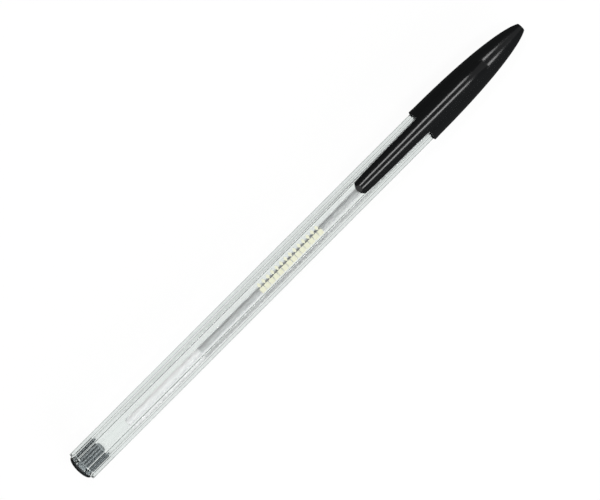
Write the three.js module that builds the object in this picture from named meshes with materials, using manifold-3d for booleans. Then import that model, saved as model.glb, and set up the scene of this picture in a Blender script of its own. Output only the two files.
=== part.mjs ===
// A capped stick ballpoint pen: a clear hexagonal barrel, its end plug, the refill inside it,
// and a cap with a spring clip. Sizes are in millimetres. The pen lies along X with its writing
// end towards +X and its clip upwards, +Z is up, and the origin is below the middle of the pen,
// in the plane that the cap's mouth rests on.
import * as THREE from "three";
import { mergeVertices } from "three/addons/utils/BufferGeometryUtils.js";
import Module from "manifold-3d";

const wasm = await Module();
wasm.setup();

// Driving sizes: barrel
const barrelLength = 122.75;
const acrossFlats = 7.05;
const barrelCornerRadius = 0.9;
const barrelBore = 4.5; // diameter
const rearMouthBore = 5.6; // diameter of the countersink at the rear face
const rearMouthDepth = 0.95;
const frontChamfer = 0.5;
const ventBore = 1.0; // diameter of the breather hole
const ventStation = 83.7; // from the rear face
const ventAside = 0.5; // off the middle of the top flat

// Driving sizes: end plug
const plugHeadDiameter = 6.6;
const plugHeadHeight = 1.25;
const plugHeadEdge = 0.2; // height of the rounded edge below the dome
const plugNeckLength = 1.0;
const plugNeckDiameter = 3.7;
const plugStemLength = 5.85;
const plugStemChamfer = 0.5;
const plugRibCount = 16;
const plugRibHeight = 0.22;
const plugRibCrest = 0.4; // share of a rib's pitch that is its flat top
const plugCoreDiameter = 2.4;
const plugCoreDepth = 4.6;
const plugFit = 0.03; // radial clearance in the barrel

// Driving sizes: refill
const holderStemLength = 7.0; // inside the barrel
const holderLip = 0.6; // how far the cone's base stands out beyond the barrel's bore
const holderConeLength = 10.5;
const holderEndDiameter = 2.6;
const holderSocketDepth = 5.0;
const holderInkWay = 1.1; // diameter
const holderFit = 0.04; // radial clearance in the barrel
const tubeDiameter = 3.0;
const tubeBore = 1.6;
const tubeSetback = 8.4; // from the end plug's stem to the tube's rear end
const tubeFit = 0.03; // radial clearance in the holder's socket
const tubeStraight = 1.5; // how far the tube stays on the axis behind the holder
const tubeBend = 54; // the stretch behind that in which it moves aside
const tubeLean = 0.65; // how far aside its free length lies, nearly against the bore
const inkSetback = 24.2; // from the tube's rear end to the ink's
const inkFit = 0.02; // radial clearance to the walls round the ink
const pointCollarDiameter = 2.3;
const pointCollarLength = 0.8;
const pointTaperLength = 1.9;
const pointShankDiameter = 1.9;
const pointShankLength = 3.5;
const pointInkWay = 0.6; // diameter
const pointRimWall = 0.07;
const pointFit = 0.02; // radial clearance in the holder
const ballDiameter = 1.0;
const ballFit = 0.03; // radial clearance in the socket
const ballRimOffset = 0.2; // from the ball's centre to the rim that holds it

// Driving sizes: cap
const capLength = 33.3;
const capEngagement = 8.3; // how much of the barrel the cap covers
const capFit = 0.05; // radial clearance round the barrel's corners
const capMouthWall = 0.49;
const capCollar = 0.06; // how far the rim at the mouth stands out
const capCollarLength = 1.4;
const capMouthRound = 0.12;
const capNoseWall = 0.9;
const capCrownWall = 2.1;
const capCrownRadius = 1.07; // where the outline meets the flat crown
const capCrownRound = 0.2;
const capOutlinePower = 2.2; // higher is straighter near the mouth and blunter at the nose
const capSeatGap = 0.2; // from the barrel's front face to the shoulder that stops it
const capLeadIn = 0.3;
const capVentBore = 1.1; // diameter of the hole through the crown

// Driving sizes: ridge and clip
const ridgeWidth = 4.45;
const ridgeCrestRadius = 2.6;
const ridgeLength = 20.5; // from the mouth
const ridgeDrop = 0.42; // how far its top has come down where the run-out starts
const ridgeHolds = [0.55, 0.85]; // shares of its length where the top line's curve is held
const ridgeSink = 0.15; // how far its end runs into the cap's surface
const clipLength = 22.0; // from the mouth to its free end
const clipRootLength = 1.3; // from the mouth to where the clip meets the ridge
const clipRootGap = 0.15;
const clipFlareLength = 1.5; // where the clip widens to the ridge's width
const clipNeckWidth = 4.3;
const clipEndWidth = 3.8;
const clipCrestRadius = 2.25; // at its free end
const clipNeckCrestRadius = 2.5;
const clipThickness = 1.4;
const clipBevel = 1.7; // length of the slope at the free end
const clipNoseWidth = 1.9;
const clipNoseThickness = 0.6;
const clipShoulderLength = 0.7; // from the free end to the middle of its rounding
const clipShoulderWidth = 3.1;
const clipShoulderThickness = 0.95;
const clipBarrelGap = 1.0; // from the barrel's top flat to the clip's free end
const clipCollarGap = 0.2; // from the cap's collar to the underside of the clip's root

// How finely round shapes are divided
const roundSides = 48;
const smallSides = 24;
const cornerSteps = 3;
const domeSteps = 5;
const crestSteps = 8;
const outlineSteps = 18;
const cavitySteps = 8;
const ridgeSteps = 12;
const socketSteps = 5;
const bendSteps = 10;
const flatDivisions = 6; // of each flat, from the rear face to below the clip's free end
const overrun = 1; // how far a cutting shape runs past the face that it cuts
const weldDistance = 1e-4; // points this close to each other are one

// Sizes that follow from the ones above. Stations along the pen start at the barrel's rear face.
const barrelCornerReach =
  (acrossFlats / 2 - barrelCornerRadius) / Math.cos(Math.PI / 6) + barrelCornerRadius;
const facetSag = 1 / Math.cos(Math.PI / roundSides);
const capBoreRadius = (barrelCornerReach + capFit) * facetSag;
const capRadius = capBoreRadius + capMouthWall;
const capMouthStation = barrelLength - capEngagement;
const capShoulder = capEngagement + capSeatGap;
const clipUndersideAtRoot = capRadius + capCollar + clipCollarGap;
const clipUndersideAtEnd = acrossFlats / 2 + clipBarrelGap;
const clipTopAtRoot = clipUndersideAtRoot + clipThickness;
const ridgeStart = clipRootLength + clipRootGap;
const plugStemEnd = plugNeckLength + plugStemLength;
const tubeRear = plugStemEnd + tubeSetback;
const inkRear = tubeRear + inkSetback;
const holderRear = barrelLength - holderStemLength;
const socketFloor = holderRear + holderSocketDepth;
const bendEnd = holderRear - tubeStraight;
const bendStart = bendEnd - tubeBend;
const coneEnd = barrelLength + holderConeLength;
const pointRim = coneEnd + pointCollarLength + pointTaperLength;
const ballStation = pointRim - ballRimOffset;
const ballSocketRadius = ballDiameter / 2 + ballFit;
const holderBaseRadius = barrelBore / 2 + holderLip;

// Shape helpers

// A closed profile of [radius, station] pairs turned about the pen's axis. It runs towards +X
// on the outside and back towards -X on the inside.
function revolve(profile, sides) {
  const points = profile.map(([radius, station]) => new THREE.Vector2(radius, station));
  return new THREE.LatheGeometry(points, sides).rotateZ(-Math.PI / 2);
}

// The same, for a hollow profile that closes on itself.
function revolveRing(profile, sides) {
  return revolve([...profile, profile[0]], sides);
}

// A closed skin over rings of points, with its two ends as fans about the ring's middle. Every
// ring has as many points as the others and turns from +Y to +Z. They go on towards +X.
function loft(rings) {
  const count = rings[0].length;
  const last = (rings.length - 1) * count;
  const rearMiddle = rings.length * count;
  const frontMiddle = rearMiddle + 1;
  const middles = [rings[0], rings.at(-1)].map((ring) =>
    ring.reduce((sum, point) => sum.add(point), new THREE.Vector3()).divideScalar(count),
  );
  const positions = [...rings.flat(), ...middles].flatMap((point) => point.toArray());
  const index = [];
  for (let i = 0; i < count; i++) {
    const next = (i + 1) % count;
    for (let start = 0; start < last; start += count) {
      index.push(start + i, start + next, start + count + i);
      index.push(start + next, start + count + next, start + count + i);
    }
    index.push(rearMiddle, next, i);
    index.push(frontMiddle, last + i, last + next);
  }
  const geometry = new THREE.BufferGeometry();
  geometry.setAttribute("position", new THREE.Float32BufferAttribute(positions, 3));
  geometry.setIndex(index);
  return geometry;
}

// A geometry as a solid that can be joined and cut.
function solidOf(geometry) {
  const bare = geometry.clone();
  bare.deleteAttribute("normal");
  bare.deleteAttribute("uv");
  const merged = mergeVertices(bare, weldDistance);
  return new wasm.Manifold(
    new wasm.Mesh({
      numProp: 3,
      vertProperties: new Float32Array(merged.attributes.position.array),
      triVerts: new Uint32Array(merged.index.array),
    }),
  );
}

// A joined or cut solid as a geometry again.
function geometryOf(solid) {
  const { vertProperties, triVerts, numProp, numVert } = solid.getMesh();
  const positions = new Float32Array(numVert * 3);
  for (let i = 0; i < numVert; i++) {
    positions.set(vertProperties.subarray(i * numProp, i * numProp + 3), i * 3);
  }
  const geometry = new THREE.BufferGeometry();
  geometry.setAttribute("position", new THREE.BufferAttribute(positions, 3));
  geometry.setIndex(new THREE.BufferAttribute(triVerts, 1));
  return geometry;
}

function named(name, geometry, material) {
  const flat = geometry.index ? geometry.toNonIndexed() : geometry;
  flat.computeVertexNormals();
  const mesh = new THREE.Mesh(flat, material);
  mesh.name = name;
  return mesh;
}

// Barrel
function hexagonRing(station) {
  const cornerCentre = (acrossFlats / 2 - barrelCornerRadius) / Math.cos(Math.PI / 6);
  const ring = [];
  for (let corner = 0; corner < 6; corner++) {
    const middle = (corner * Math.PI) / 3;
    for (let step = 0; step <= cornerSteps; step++) {
      const turn = middle + (step / cornerSteps - 0.5) * (Math.PI / 3);
      ring.push(
        new THREE.Vector3(
          station,
          cornerCentre * Math.cos(middle) + barrelCornerRadius * Math.cos(turn),
          cornerCentre * Math.sin(middle) + barrelCornerRadius * Math.sin(turn),
        ),
      );
    }
  }
  return ring;
}

function barrelGeometry() {
  const stations = [0];
  for (let i = 1; i <= flatDivisions; i++) {
    stations.push((i / flatDivisions) * (capMouthStation - clipLength));
  }
  stations.push(capMouthStation, barrelLength);
  const body = solidOf(loft(stations.map(hexagonRing)));
  const frontReach = barrelCornerReach - frontChamfer;
  const envelope = revolve(
    [
      [0, -overrun],
      [barrelCornerReach + overrun, -overrun],
      [barrelCornerReach + overrun, barrelLength - frontChamfer],
      [barrelCornerReach * facetSag, barrelLength - frontChamfer],
      [frontReach * facetSag, barrelLength],
      [frontReach * facetSag, barrelLength + overrun],
      [0, barrelLength + overrun],
    ],
    roundSides,
  );
  const bore = revolve(
    [
      [0, -overrun],
      [rearMouthBore / 2, -overrun],
      [rearMouthBore / 2, 0],
      [barrelBore / 2, rearMouthDepth],
      [barrelBore / 2, barrelLength + overrun],
      [0, barrelLength + overrun],
    ],
    smallSides,
  );
  const vent = new THREE.CylinderGeometry(ventBore / 2, ventBore / 2, acrossFlats, smallSides)
    .rotateX(Math.PI / 2)
    .translate(ventStation, -ventAside, acrossFlats / 2);
  return geometryOf(
    body.intersect(solidOf(envelope)).subtract(solidOf(bore)).subtract(solidOf(vent)),
  );
}

// End plug: a domed head on the barrel's rear face, a plain neck and a ribbed, cored stem
function plugHeadProfile() {
  const profile = [[0, -plugHeadHeight]];
  for (let i = 1; i <= domeSteps; i++) {
    const turn = ((i / domeSteps) * Math.PI) / 2;
    profile.push([
      (plugHeadDiameter / 2) * Math.sin(turn),
      -plugHeadEdge - (plugHeadHeight - plugHeadEdge) * Math.cos(turn),
    ]);
  }
  profile.push([plugHeadDiameter / 2 - plugHeadEdge / 2, 0]);
  return profile;
}

function plugStemRing(station, reach) {
  const ring = [];
  for (let rib = 0; rib < plugRibCount; rib++) {
    const pitch = (2 * Math.PI) / plugRibCount;
    const outline = [
      [0, reach - plugRibHeight],
      [(1 - plugRibCrest) / 2, reach],
      [(1 + plugRibCrest) / 2, reach],
    ];
    for (const [share, radius] of outline) {
      const turn = (rib + share) * pitch;
      ring.push(new THREE.Vector3(station, radius * Math.cos(turn), radius * Math.sin(turn)));
    }
  }
  return ring;
}

function plugGeometry() {
  const stemReach = (barrelBore / 2) * Math.cos(Math.PI / smallSides) - plugFit;
  const stemRings = [
    plugStemRing(plugNeckLength, stemReach - plugStemChamfer / 2),
    plugStemRing(plugNeckLength + plugStemChamfer / 2, stemReach),
    plugStemRing(plugStemEnd - plugStemChamfer, stemReach),
    plugStemRing(plugStemEnd, stemReach - plugStemChamfer),
  ];
  const headAndNeck = revolve(
    [
      ...plugHeadProfile(),
      [plugNeckDiameter / 2, 0],
      [plugNeckDiameter / 2, plugNeckLength + plugStemChamfer],
      [0, plugNeckLength + plugStemChamfer],
    ],
    roundSides,
  );
  const core = revolve(
    [
      [0, plugStemEnd - plugCoreDepth],
      [plugCoreDiameter / 2, plugStemEnd - plugCoreDepth],
      [plugCoreDiameter / 2, plugStemEnd + overrun],
      [0, plugStemEnd + overrun],
    ],
    smallSides,
  );
  return geometryOf(
    solidOf(headAndNeck).add(solidOf(loft(stemRings))).subtract(solidOf(core)),
  );
}

// Refill: ink tube, ink, tip holder, writing point and ball

// A round rod that follows the tube: on the axis in the holder, and aside along its free length.
function rodAlongTube(radius, rear, front) {
  const bendStations = [];
  for (let i = 0; i <= bendSteps; i++) {
    bendStations.push(bendStart + (i / bendSteps) * tubeBend);
  }
  return loft(
    [rear, ...bendStations, front].map((station) => {
      const aside = tubeLean * (1 - THREE.MathUtils.smoothstep(station, bendStart, bendEnd));
      const ring = [];
      for (let side = 0; side < smallSides; side++) {
        const turn = (side / smallSides) * 2 * Math.PI;
        const across = radius * Math.cos(turn) - aside;
        ring.push(new THREE.Vector3(station, across, radius * Math.sin(turn)));
      }
      return ring;
    }),
  );
}

function tubeGeometry() {
  return geometryOf(
    solidOf(rodAlongTube(tubeDiameter / 2, tubeRear, socketFloor)).subtract(
      solidOf(rodAlongTube(tubeBore / 2, tubeRear - overrun, socketFloor + overrun)),
    ),
  );
}

function inkGeometry() {
  const inHolder = holderInkWay / 2 - inkFit;
  const inPoint = pointInkWay / 2 - inkFit;
  const shankRear = coneEnd - pointShankLength;
  const ballRear = ballStation - ballSocketRadius;
  const column = rodAlongTube(tubeBore / 2 - inkFit, inkRear, socketFloor - inkFit);
  const wayToBall = revolve(
    [
      [0, holderRear],
      [inHolder, holderRear],
      [inHolder, shankRear - inkFit],
      [inPoint, shankRear - inkFit],
      [inPoint, ballRear - inkFit],
      [0, ballRear - inkFit],
    ],
    smallSides,
  );
  return geometryOf(solidOf(column).add(solidOf(wayToBall)));
}

function holderGeometry() {
  const stemRadius = (barrelBore / 2) * Math.cos(Math.PI / smallSides) - holderFit;
  const socketRadius = (tubeDiameter / 2 + tubeFit) / Math.cos(Math.PI / smallSides);
  const seatRadius = (pointShankDiameter / 2 + pointFit) / Math.cos(Math.PI / smallSides);
  const shankRear = coneEnd - pointShankLength;
  return revolveRing(
    [
      [stemRadius, holderRear],
      [stemRadius, barrelLength],
      [holderBaseRadius, barrelLength],
      [holderBaseRadius, barrelLength + holderLip],
      [holderEndDiameter / 2, coneEnd],
      [seatRadius, coneEnd],
      [seatRadius, shankRear],
      [holderInkWay / 2, shankRear],
      [holderInkWay / 2, socketFloor],
      [socketRadius, socketFloor],
      [socketRadius, holderRear],
    ],
    smallSides,
  );
}

function pointGeometry() {
  const rimBore = Math.sqrt(ballSocketRadius ** 2 - ballRimOffset ** 2);
  const shankRear = coneEnd - pointShankLength;
  const socketArc = [];
  const rimTurn = Math.acos(ballRimOffset / ballSocketRadius);
  const inkWayTurn = Math.PI - Math.asin(pointInkWay / 2 / ballSocketRadius);
  for (let i = 0; i <= socketSteps; i++) {
    const turn = rimTurn + (i / socketSteps) * (inkWayTurn - rimTurn);
    socketArc.push([
      ballSocketRadius * Math.sin(turn),
      ballStation + ballSocketRadius * Math.cos(turn),
    ]);
  }
  return revolveRing(
    [
      [pointShankDiameter / 2, shankRear],
      [pointShankDiameter / 2, coneEnd],
      [pointCollarDiameter / 2, coneEnd],
      [pointCollarDiameter / 2, coneEnd + pointCollarLength],
      [rimBore + pointRimWall, pointRim],
      ...socketArc,
      [pointInkWay / 2, shankRear],
    ],
    smallSides,
  );
}

// Cap: stations here start at its mouth
function capOutlineRadius(station) {
  const closing =
    capLength / (1 - (capCrownRadius / capRadius) ** 2) ** (1 / capOutlinePower);
  return capRadius * Math.sqrt(1 - (station / closing) ** capOutlinePower);
}

function capBodyProfile() {
  const profile = [
    [0, 0],
    [capRadius, 0],
    [capRadius + capCollar, capMouthRound],
  ];
  for (let i = 0; i < outlineSteps; i++) {
    // The stations crowd towards the nose, where the outline turns fastest.
    const share = Math.sin(((i / outlineSteps) * Math.PI) / 2);
    const station = capCollarLength + share * (capLength - capCrownRound - capCollarLength);
    profile.push([capOutlineRadius(station), station]);
  }
  const crownEdge = capOutlineRadius(capLength - capCrownRound);
  profile.push([crownEdge, capLength - capCrownRound]);
  profile.push([crownEdge - capCrownRound / 2, capLength]);
  profile.push([0, capLength]);
  return profile;
}

function capCavityProfile() {
  const cavityEnd = capLength - capCrownWall;
  const profile = [
    [0, -overrun],
    [capBoreRadius + capLeadIn, -overrun],
    [capBoreRadius + capLeadIn, 0],
    [capBoreRadius, capLeadIn],
    [capBoreRadius, capShoulder],
  ];
  for (let i = 0; i <= cavitySteps; i++) {
    const share = Math.sin(((i / cavitySteps) * Math.PI) / 2);
    const station = capShoulder + share * (cavityEnd - capShoulder);
    profile.push([capOutlineRadius(station) - capNoseWall, station]);
  }
  profile.push([capVentBore / 2, cavityEnd]);
  profile.push([capVentBore / 2, capLength + overrun]);
  profile.push([0, capLength + overrun]);
  return profile;
}

// A bar's cross-section: a flat underside, upright sides and a round crest.
function barRing(station, width, top, underside, crestRadius) {
  const half = width / 2;
  const crestTurn = Math.asin(half / crestRadius);
  const ring = [];
  for (let step = 0; step <= crestSteps; step++) {
    const turn = crestTurn * (1 - (2 * step) / crestSteps);
    ring.push(
      new THREE.Vector3(
        station,
        crestRadius * Math.sin(turn),
        top - crestRadius * (1 - Math.cos(turn)),
      ),
    );
  }
  ring.push(new THREE.Vector3(station, -half, underside));
  ring.push(new THREE.Vector3(station, half, underside));
  return ring;
}

function ridgeGeometry() {
  const endTop = capOutlineRadius(ridgeLength) - ridgeSink;
  const topLine = new THREE.CubicBezierCurve(
    new THREE.Vector2(ridgeStart, clipTopAtRoot),
    new THREE.Vector2(ridgeHolds[0] * ridgeLength, clipTopAtRoot - ridgeDrop / 2),
    new THREE.Vector2(ridgeHolds[1] * ridgeLength, clipTopAtRoot - ridgeDrop),
    new THREE.Vector2(ridgeLength, endTop),
  );
  const rings = topLine.getPoints(ridgeSteps).map((point) => {
    const sideDrop = ridgeCrestRadius - Math.sqrt(ridgeCrestRadius ** 2 - (ridgeWidth / 2) ** 2);
    const underside = point.y - sideDrop - 2 * clipThickness;
    return barRing(point.x, ridgeWidth, point.y, underside, ridgeCrestRadius);
  });
  return loft(rings);
}

function capGeometry() {
  return geometryOf(
    solidOf(revolve(capBodyProfile(), roundSides))
      .add(solidOf(ridgeGeometry()))
      .subtract(solidOf(revolve(capCavityProfile(), roundSides))),
  );
}

// Clip: its free end is towards -X, and its root faces the ridge across a narrow gap
function clipGeometry() {
  const undersideAt = (station) => {
    const share = (station + clipLength) / (clipLength + clipRootLength);
    return clipUndersideAtEnd + share * (clipUndersideAtRoot - clipUndersideAtEnd);
  };
  const ringAt = (station, width, thickness, crestRadius) => {
    const underside = undersideAt(station);
    return barRing(station, width, underside + thickness, underside, crestRadius);
  };
  return loft([
    ringAt(-clipLength, clipNoseWidth, clipNoseThickness, clipCrestRadius),
    ringAt(
      -clipLength + clipShoulderLength,
      clipShoulderWidth,
      clipShoulderThickness,
      clipCrestRadius,
    ),
    ringAt(-clipLength + clipBevel, clipEndWidth, clipThickness, clipCrestRadius),
    ringAt(-clipFlareLength, clipNeckWidth, clipThickness, clipNeckCrestRadius),
    ringAt(0, ridgeWidth, clipThickness, ridgeCrestRadius),
    ringAt(clipRootLength, ridgeWidth, clipThickness, ridgeCrestRadius),
  ]);
}

// Materials
const clearPolystyrene = new THREE.MeshStandardMaterial({
  color: 0xe6eceb,
  roughness: 0.08,
  metalness: 0,
  transparent: true,
  opacity: 0.35,
});
const blackPolypropylene = new THREE.MeshStandardMaterial({
  color: 0x141518,
  roughness: 0.3,
  metalness: 0,
});
const milkyPolypropylene = new THREE.MeshStandardMaterial({
  color: 0xdfe3e2,
  roughness: 0.35,
  metalness: 0,
  transparent: true,
  opacity: 0.5,
});
const inkPaste = new THREE.MeshStandardMaterial({ color: 0x15161a, roughness: 0.2, metalness: 0 });
const brass = new THREE.MeshStandardMaterial({ color: 0xb9975a, roughness: 0.3, metalness: 1 });
const nickelSilver = new THREE.MeshStandardMaterial({
  color: 0xb8b2a4,
  roughness: 0.25,
  metalness: 1,
});
const tungstenCarbide = new THREE.MeshStandardMaterial({
  color: 0x8c8e92,
  roughness: 0.15,
  metalness: 1,
});

// Assembly
const capGroup = new THREE.Group();
capGroup.position.x = capMouthStation;
capGroup.add(
  named("cap", capGeometry(), blackPolypropylene),
  named("clip", clipGeometry(), blackPolypropylene),
);

const refill = new THREE.Group();
const ball = named(
  "ball",
  new THREE.SphereGeometry(ballDiameter / 2, smallSides, smallSides / 2),
  tungstenCarbide,
);
ball.position.x = ballStation;
refill.add(
  named("ink_tube", tubeGeometry(), milkyPolypropylene),
  named("ink", inkGeometry(), inkPaste),
  named("tip_holder", holderGeometry(), brass),
  named("writing_point", pointGeometry(), nickelSilver),
  ball,
);

const pen = new THREE.Group();
pen.position.x = -(capMouthStation + capLength - plugHeadHeight) / 2;
pen.position.z = capRadius + capCollar;
pen.add(
  named("barrel", barrelGeometry(), clearPolystyrene),
  named("end_plug", plugGeometry(), blackPolypropylene),
  refill,
  capGroup,
);

const root = new THREE.Group();
root.add(pen);
export default root;
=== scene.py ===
# %% [markdown]
# A capped stick ballpoint pen, built over the model that the physics uses. The real pen is nine
# pieces: a clear hexagonal barrel, a black plug in its end, the ink's tube and the ink, a brass
# tip holder with the writing point and its ball, and a black cap with a spring clip.
# The model's own nodes are coarse, so that the physics runs fast. Here each is made again with
# finer curves in the same place, and the coarse one is hidden.

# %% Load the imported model
import math

import bmesh
import bpy
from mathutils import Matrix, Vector


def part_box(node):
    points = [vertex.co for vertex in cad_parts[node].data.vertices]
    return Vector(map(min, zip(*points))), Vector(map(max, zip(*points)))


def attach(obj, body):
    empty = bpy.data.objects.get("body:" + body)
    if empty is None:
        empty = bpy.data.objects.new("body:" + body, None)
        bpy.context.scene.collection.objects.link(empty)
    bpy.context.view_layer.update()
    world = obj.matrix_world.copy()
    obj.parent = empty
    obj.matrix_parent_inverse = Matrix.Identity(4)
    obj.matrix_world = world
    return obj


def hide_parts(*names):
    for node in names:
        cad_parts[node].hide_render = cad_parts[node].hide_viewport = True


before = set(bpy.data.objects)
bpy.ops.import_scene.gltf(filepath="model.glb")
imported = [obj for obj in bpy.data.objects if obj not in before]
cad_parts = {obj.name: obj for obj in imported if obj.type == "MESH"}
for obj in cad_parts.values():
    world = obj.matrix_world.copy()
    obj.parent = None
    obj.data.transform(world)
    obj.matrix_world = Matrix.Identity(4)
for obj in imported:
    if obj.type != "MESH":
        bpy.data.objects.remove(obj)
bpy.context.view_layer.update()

# %% [markdown]
# Every length below is in millimetres, as on a drawing, and MM turns it to Blender's metres.
# The pieces are turned and cut on a bench: there the pen's axis is the X axis, and X counts from
# the barrel's rear face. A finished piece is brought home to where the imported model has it.

# %% Measure where the pen lies, and set up the bench
MM = 0.001
barrel_low, barrel_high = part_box("barrel")
REAR_FACE = barrel_low.x
AXIS_HEIGHT = (barrel_low.z + barrel_high.z) / 2
BARREL_LENGTH = (barrel_high.x - barrel_low.x) / MM
print("barrel", round(BARREL_LENGTH, 3), "mm long, axis", round(AXIS_HEIGHT / MM, 3), "mm up")


def only(piece):
    """Selects one piece and nothing else."""
    bpy.ops.object.select_all(action="DESELECT")
    piece.select_set(True)
    bpy.context.view_layer.objects.active = piece


def choose(piece, kind, test):
    """In edit mode, selects the vertices, edges or faces whose place and direction pass a test."""
    bpy.ops.mesh.select_mode(type=kind)
    bpy.ops.mesh.select_all(action="DESELECT")
    shape = bmesh.from_edit_mesh(piece.data)
    if kind == "VERT":
        parts = [(v, v.co, v.normal) for v in shape.verts]
    elif kind == "EDGE":
        ends = [(e, e.verts[0].co, e.verts[1].co) for e in shape.edges]
        parts = [(e, (a + b) / 2, (b - a).normalized()) for e, a, b in ends]
    else:
        parts = [(f, f.calc_center_median(), f.normal) for f in shape.faces]
    picked = [part for part, place, way in parts if test(place / MM, way)]
    for part in picked:
        part.select_set(True)
    shape.select_flush_mode()
    bmesh.update_edit_mesh(piece.data)
    return len(picked)


def apply_last(piece):
    """Applies the newest modifier of a piece."""
    only(piece)
    bpy.ops.object.modifier_apply(modifier=piece.modifiers[-1].name)


def carve(piece, tool, operation="DIFFERENCE"):
    """Cuts a piece with a tool, or joins them, and throws the tool away."""
    only(piece)
    bpy.ops.object.modifier_add(type="BOOLEAN")
    change = piece.modifiers[-1]
    change.operation = operation
    change.solver = "EXACT"
    change.object = tool
    apply_last(piece)
    bpy.data.objects.remove(tool)
    print(piece.name, operation.lower(), "gives", len(piece.data.polygons), "faces")


def smooth(piece, degrees=30):
    """Smooth shading over small turns of the surface, with the large flats kept flat."""
    only(piece)
    bpy.ops.object.shade_smooth_by_angle(angle=math.radians(degrees))
    bpy.ops.object.modifier_add(type="WEIGHTED_NORMAL")
    piece.modifiers[-1].keep_sharp = True
    apply_last(piece)


def bring_home(piece, body, node):
    """Moves a finished piece from the bench to its place, and hands it to the model's body."""
    only(piece)
    piece.location = (REAR_FACE, 0, AXIS_HEIGHT)
    bpy.ops.object.transform_apply(location=True, rotation=True, scale=True)
    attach(piece, body)
    if node:
        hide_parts(node)
    print(piece.name, "has", len(piece.data.polygons), "faces")


# %% [markdown]
# Most pieces of a pen are round, because they are turned on a lathe or come out of a round
# mould. A round piece starts here as one circle, and each next edge loop is extruded from the
# last and scaled to its radius, as one does by hand with E and S. Where the profile comes back
# to its start, the piece is a ring; otherwise its two small ends are filled.

# %% Turn round pieces out of a circle
POLE = 0.01  # radius at which a pole is closed with one small face


def turn(name, profile, sides=96, aside=lambda station: 0.0):
    """A round piece from [radius, station] pairs. aside is how far its centre lies off the axis."""
    radius, station = profile[0]
    bpy.ops.object.select_all(action="DESELECT")
    bpy.ops.mesh.primitive_circle_add(
        vertices=sides,
        radius=radius * MM,
        location=(station * MM, aside(station) * MM, 0),
        rotation=(0, math.pi / 2, 0),
    )
    piece = bpy.context.object
    piece.name = name
    piece.data.name = name
    bpy.ops.object.transform_apply(location=True, rotation=True, scale=True)
    bpy.ops.object.mode_set(mode="EDIT")
    bpy.ops.mesh.select_mode(type="VERT")
    bpy.ops.mesh.select_all(action="SELECT")
    for next_radius, next_station in profile[1:]:
        step = (next_station - station, aside(next_station) - aside(station), 0)
        bpy.ops.mesh.extrude_region_move(
            TRANSFORM_OT_translate={"value": [part * MM for part in step]}
        )
        grow = next_radius / radius
        bpy.ops.transform.resize(
            value=(1, grow, grow),
            center_override=(next_station * MM, aside(next_station) * MM, 0),
        )
        radius, station = next_radius, next_station
    bpy.ops.mesh.select_all(action="SELECT")
    bpy.ops.mesh.remove_doubles(threshold=1e-7)
    bpy.ops.mesh.select_all(action="SELECT")
    bpy.ops.mesh.fill_holes(sides=0)
    bpy.ops.mesh.select_all(action="SELECT")
    bpy.ops.mesh.normals_make_consistent(inside=False)
    bpy.ops.object.mode_set(mode="OBJECT")
    print(name, "is turned through", len(profile), "loops of", sides)
    return piece


def arc(radius, station, reach_out, reach_along, start, end, steps):
    """Points of a rounded corner about (radius, station); angles in degrees, 0 is outwards."""
    points = []
    for i in range(steps + 1):
        angle = math.radians(start + (end - start) * i / steps)
        points.append(
            (radius + reach_out * math.cos(angle), station + reach_along * math.sin(angle))
        )
    return points


# %% [markdown]
# The barrel is moulded in clear polystyrene. Outside it is a hexagon, so that it can't roll off a
# desk and sits well between three fingers; inside it is round. One could draw the section and
# extrude it. Here a six-sided bar has its long edges bevelled, and a round tool cuts the bore,
# as the core pin of the mould does. The corners stay crisp: the flats beside them then show the
# ink a second time, as a thin dark line along each corner. A second tool drills the small
# breather hole, which lets air in as the ink runs out.

# %% Bevel a six-sided bar into the barrel's outside
ACROSS_FLATS = 7.05
BARREL_CORNER = 0.3
bpy.ops.object.select_all(action="DESELECT")
bpy.ops.mesh.primitive_cylinder_add(
    vertices=6,
    radius=ACROSS_FLATS / 2 / math.cos(math.radians(30)) * MM,
    depth=BARREL_LENGTH * MM,
    location=(BARREL_LENGTH / 2 * MM, 0, 0),
    rotation=(0, math.pi / 2, 0),
)
barrel = bpy.context.object
barrel.name = "clear_barrel"
barrel.data.name = "clear_barrel"
bpy.ops.object.transform_apply(location=True, rotation=True, scale=True)
bpy.ops.object.mode_set(mode="EDIT")
long_edges = choose(barrel, "EDGE", lambda place, way: abs(way.x) > 0.9)
bpy.ops.mesh.bevel(
    offset=BARREL_CORNER * math.tan(math.radians(30)) * MM,
    segments=6,
    profile=0.5,
    affect="EDGES",
)
print("long edges rounded:", long_edges)

# %% Soften the barrel's two rims
FRONT_CHAMFER = 0.2
REAR_ROUND = 0.12
front_rim = choose(barrel, "EDGE", lambda place, way: place.x > BARREL_LENGTH - 0.01)
bpy.ops.mesh.bevel(offset=FRONT_CHAMFER * MM, segments=3, profile=0.5, affect="EDGES")
rear_rim = choose(barrel, "EDGE", lambda place, way: place.x < 0.01)
bpy.ops.mesh.bevel(offset=REAR_ROUND * MM, segments=3, profile=0.5, affect="EDGES")
bpy.ops.object.mode_set(mode="OBJECT")
print("rim edges softened:", front_rim, "in front,", rear_rim, "at the rear")

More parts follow.
